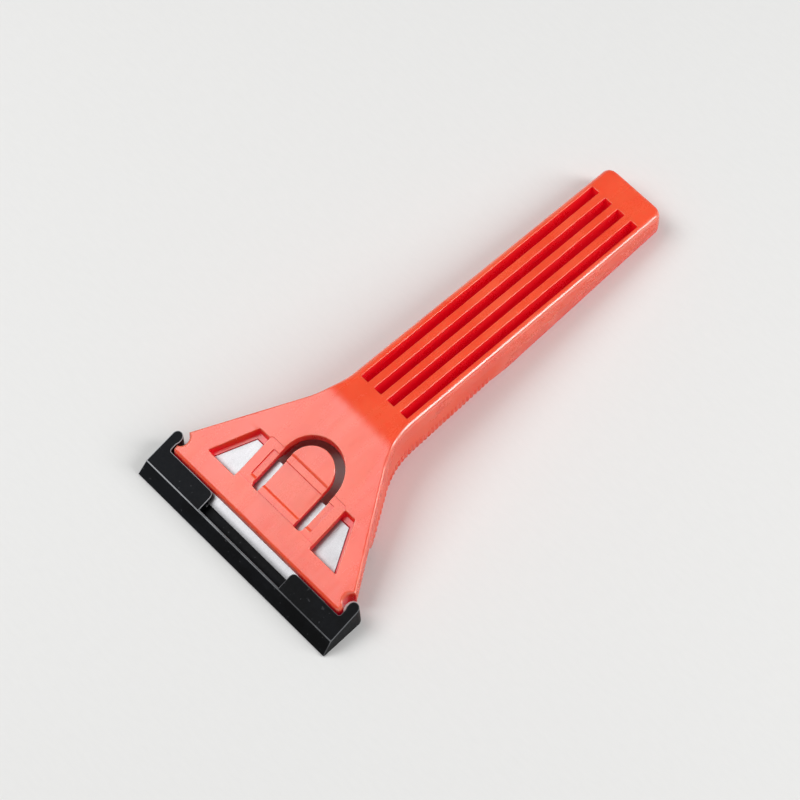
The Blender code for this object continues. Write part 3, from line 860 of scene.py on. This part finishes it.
def makeOrangeRed():
    look = {
        # Among these colours are a painted edge highlight, a painted shade for the hollows and a painted
        # glow in them
        "base": (0.87, 0.066, 0.015), "pale": (0.93, 0.092, 0.027), "edgeHighlight": (1.0, 0.30, 0.20),
        "recessShade": (0.86, 0.018, 0.028), "through": (0.075, 0.0, 0.003), "hiddenReach": 0.005,
        "roughness": 0.27, "cloudScale": 70, "flowScale": (160, 38, 60), "grainScale": 2600,
        "scuffScale": (900, 60, 300),
    }
    material, graph, surface = newMaterial("orangeRedPlastic", {
        "IOR": 1.58, "Subsurface Weight": 0.5, "Subsurface Radius": (1.0, 0.05, 0.04),
        "Subsurface Scale": 0.004, "Emission Strength": 1.0, "Coat Roughness": 0.27, "Coat IOR": 1.65})
    place = graph.put("ShaderNodeTexCoord", out="Object")
    edgeHighlight = graph.put("ShaderNodeAttribute", {"attribute_name": "edgeWear"}, None, "Fac")
    reach = {"Distance": look["hiddenReach"]}
    # How open each spot is to light, from ambient occlusion
    clear = kept(graph, graph.put("ShaderNodeAmbientOcclusion", {"samples": 6}, reach, "AO"), 0.3, 0.93)
    cloud = noiseAt(graph, place, look["cloudScale"], 3)
    flow = noiseAt(graph, stretched(graph, place, look["flowScale"]), 1, 4, 0.6)
    grain = noiseAt(graph, place, look["grainScale"], 2)
    scuff = noiseAt(graph, stretched(graph, place, look["scuffScale"], (0, 0, 0.5)), 1, 3)
    scuffs = kept(graph, scuff, 0.66, 0.74)
    colour = tinted(graph, kept(graph, cloud, 0.35, 0.65), look["base"], look["pale"])
    # Painted shade: a deeper red where the surface lies hidden in grooves and hollows
    colour = tinted(graph, clear, look["recessShade"], colour)
    # Painted highlight: a light pink mixed into the rounded edges, beside the real coat shine they get below
    colour = tinted(graph, edgeHighlight * kept(graph, cloud, 0.3, 0.6, 0.2, 0.45), colour, look["edgeHighlight"])
    through = tinted(graph, clear, look["through"], (0, 0, 0))      # painted glow in the hollows, standing in for light that comes through the walls
    rough = look["roughness"] + (flow - 0.5) * 0.20 + (cloud - 0.5) * 0.10 + (grain - 0.5) * 0.06
    rough = rough + scuffs * 0.1 - edgeHighlight * 0.13
    wavy = bumped(graph, flow, 0.00025, 0.45)
    fine = bumped(graph, grain, 0.000006, 0.5, wavy)
    fed(graph, surface, {"Base Color": colour, "Roughness": rough, "Normal": fine, "Emission Color": through,
                         "Coat Weight": edgeHighlight * kept(graph, flow, 0.3, 0.6, 0.7, 1)})
    return material


def makeSatinBlack():
    look = {
        # Among these colours are a painted edge highlight and a lighter tone that also carries a painted
        # sheen
        "base": (0.0008, 0.001, 0.0016), "dustyAndSheen": (0.0058, 0.0068, 0.009), "edgeHighlight": (0.40, 0.41, 0.43),
        "speck": (0.06, 0.062, 0.068), "roughness": 0.46, "cloudScale": 130, "grainScale": 1700,
        "speckScale": 900, "leftEnd": -0.034, "sheenEnd": 0.010, "highlightEnd": 0.030,
    }
    material, graph, surface = newMaterial("satinBlackPlastic", {"Specular IOR Level": 0.07})
    place = graph.put("ShaderNodeTexCoord", out="Object")
    across = graph.put("ShaderNodeSeparateXYZ", None, {0: place}, "X")
    # Painted highlight on the rounded edges, stronger towards the left end where the light falls
    edgeHighlight = graph.put("ShaderNodeAttribute", {"attribute_name": "edgeWear"}, None, "Fac")
    edgeHighlight = edgeHighlight * kept(graph, across, look["leftEnd"], look["highlightEnd"], 1.0, 0.4)
    # Painted sheen: the faces lighter towards the left end, on top of random dusty mottle
    leftSheen = kept(graph, across, look["leftEnd"], look["sheenEnd"], 0.14, -0.06)
    cloud = noiseAt(graph, place, look["cloudScale"], 4, 0.6) + leftSheen
    grain = noiseAt(graph, place, look["grainScale"], 3)
    speck = noiseAt(graph, place, look["speckScale"], 1)
    specks = kept(graph, speck, 0.70, 0.76)
    colour = tinted(graph, kept(graph, cloud, 0.3, 0.7), look["base"], look["dustyAndSheen"])
    colour = tinted(graph, specks * 0.5, colour, look["speck"])
    colour = tinted(graph, edgeHighlight * kept(graph, cloud, 0.3, 0.6, 0.45, 1), colour, look["edgeHighlight"])
    rough = look["roughness"] + (grain - 0.5) * 0.25 + (cloud - 0.5) * 0.2 - edgeHighlight * 0.12
    fine = bumped(graph, grain, 0.00003, 0.5)
    fed(graph, surface, {"Base Color": colour, "Roughness": rough, "Normal": fine})
    return material


def makeGroundSteel():
    look = {
        "base": (0.32, 0.32, 0.33), "bright": (0.42, 0.42, 0.435), "roughness": 0.42,
        "lineScale": (5200, 260, 260), "speckScale": 4200,
    }
    material, graph, surface = newMaterial("groundSteel", {"Metallic": 1.0})
    place = graph.put("ShaderNodeTexCoord", out="Object")
    lines = noiseAt(graph, stretched(graph, place, look["lineScale"]), 1, 2)
    speck = noiseAt(graph, place, look["speckScale"], 2)
    colour = tinted(graph, kept(graph, speck, 0.3, 0.7), look["base"], look["bright"])
    rough = look["roughness"] + (speck - 0.5) * 0.2 + (lines - 0.5) * 0.2
    fine = bumped(graph, lines + speck * 0.6, 0.00002, 0.7)
    fed(graph, surface, {"Base Color": colour, "Roughness": rough, "Normal": fine})
    return material


orangeRed = makeOrangeRed()
satinBlack = makeSatinBlack()
groundSteel = makeGroundSteel()
print("materials made")

moulding = makeMoulding(orangeRed)
print("moulding:", len(moulding.data.polygons), "faces")
tongue = makeTongue(orangeRed)
print("tongue:", len(tongue.data.polygons), "faces")
blade = makeBlade(groundSteel)
print("blade:", len(blade.data.polygons), "faces")
guard = makeGuard(satinBlack)
print("guard:", len(guard.data.polygons), "faces")

for piece, node, body, slotName in (
        (moulding, "scraper_body", "body", "orange_red_plastic"),
        (tongue, "release_tongue", "tongue", "orange_red_plastic"),
        (blade, "blade", "body", "blade_steel"),
        (guard, "blade_guard", "guard", "black_plastic")):
    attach(piece, body)
    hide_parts(node)


# Camera and lights in metres, and the floor in millimetres as the pieces are
cameraSize = {
    "azimuth": 45.79, "elevation": 66.12, "view": 15.51, "distance": 0.760,
    "target": (-0.00254, -0.01106, 0), "sensor": 36, "nearest": 0.01,
}
floorSize = {
    "half": 1500, "fibreScale": (260, 900, 600),
    "dark": (0.785, 0.785, 0.775), "pale": (0.815, 0.815, 0.805),
}
lampAim = (0, -0.03, 0.01)


def makeCamera():
    size = cameraSize
    a, e = radians(size["azimuth"]), radians(size["elevation"])
    back = Vector((sin(a) * cos(e), -cos(a) * cos(e), sin(e)))
    camera = bpy.data.objects.new("camera", bpy.data.cameras.new("camera"))
    camera.data.sensor_width = size["sensor"]
    camera.data.angle = radians(size["view"])
    camera.data.clip_start = size["nearest"]
    camera.location = Vector(size["target"]) + back * size["distance"]
    camera.rotation_euler = back.to_track_quat("Z", "Y").to_euler()
    bpy.context.scene.collection.objects.link(camera)
    bpy.context.scene.camera = camera


def makeFloor():
    size = floorSize
    work = bmesh.new()
    bmesh.ops.create_grid(work, x_segments=8, y_segments=8, size=size["half"])
    piece = meshPiece("floor", work)
    material, graph, surface = newMaterial("paleFloor", {"Roughness": 0.6})
    place = graph.put("ShaderNodeTexCoord", out="Object")
    fibre = noiseAt(graph, stretched(graph, place, size["fibreScale"]), 1, 3)
    colour = tinted(graph, fibre, size["dark"], size["pale"])
    fed(graph, surface, {"Base Color": colour, "Normal": bumped(graph, fibre, 0.00003, 0.3)})
    piece.data.materials.append(material)


def addLamp(name, toward, distance, wide, tall, power):
    data = bpy.data.lights.new(name, "AREA")
    data.shape = "RECTANGLE"
    data.size = wide
    data.size_y = tall
    data.energy = power
    lamp = bpy.data.objects.new(name, data)
    direction = Vector(toward).normalized()
    lamp.location = Vector(lampAim) + direction * distance
    lamp.rotation_euler = direction.to_track_quat("Z", "Y").to_euler()
    bpy.context.scene.collection.objects.link(lamp)


def makeWorld(strength):
    world = bpy.data.worlds.new("studio")
    bpy.context.scene.world = world
    world.use_nodes = True
    world.node_tree.nodes["Background"].inputs["Color"].default_value = (1, 1, 1, 1)
    world.node_tree.nodes["Background"].inputs["Strength"].default_value = strength


makeCamera()
makeFloor()
makeWorld(strength=0.31)
addLamp("headSoftbox", toward=(-0.49, -0.277, 0.825), distance=0.9, wide=0.52, tall=0.57, power=4.6)
addLamp("edgeSoftbox", toward=(0.62, 0.49, 0.60), distance=0.9, wide=0.25, tall=0.58, power=4.3)
bpy.context.scene.view_settings.view_transform = "Standard"
print("camera, floor and lights made")
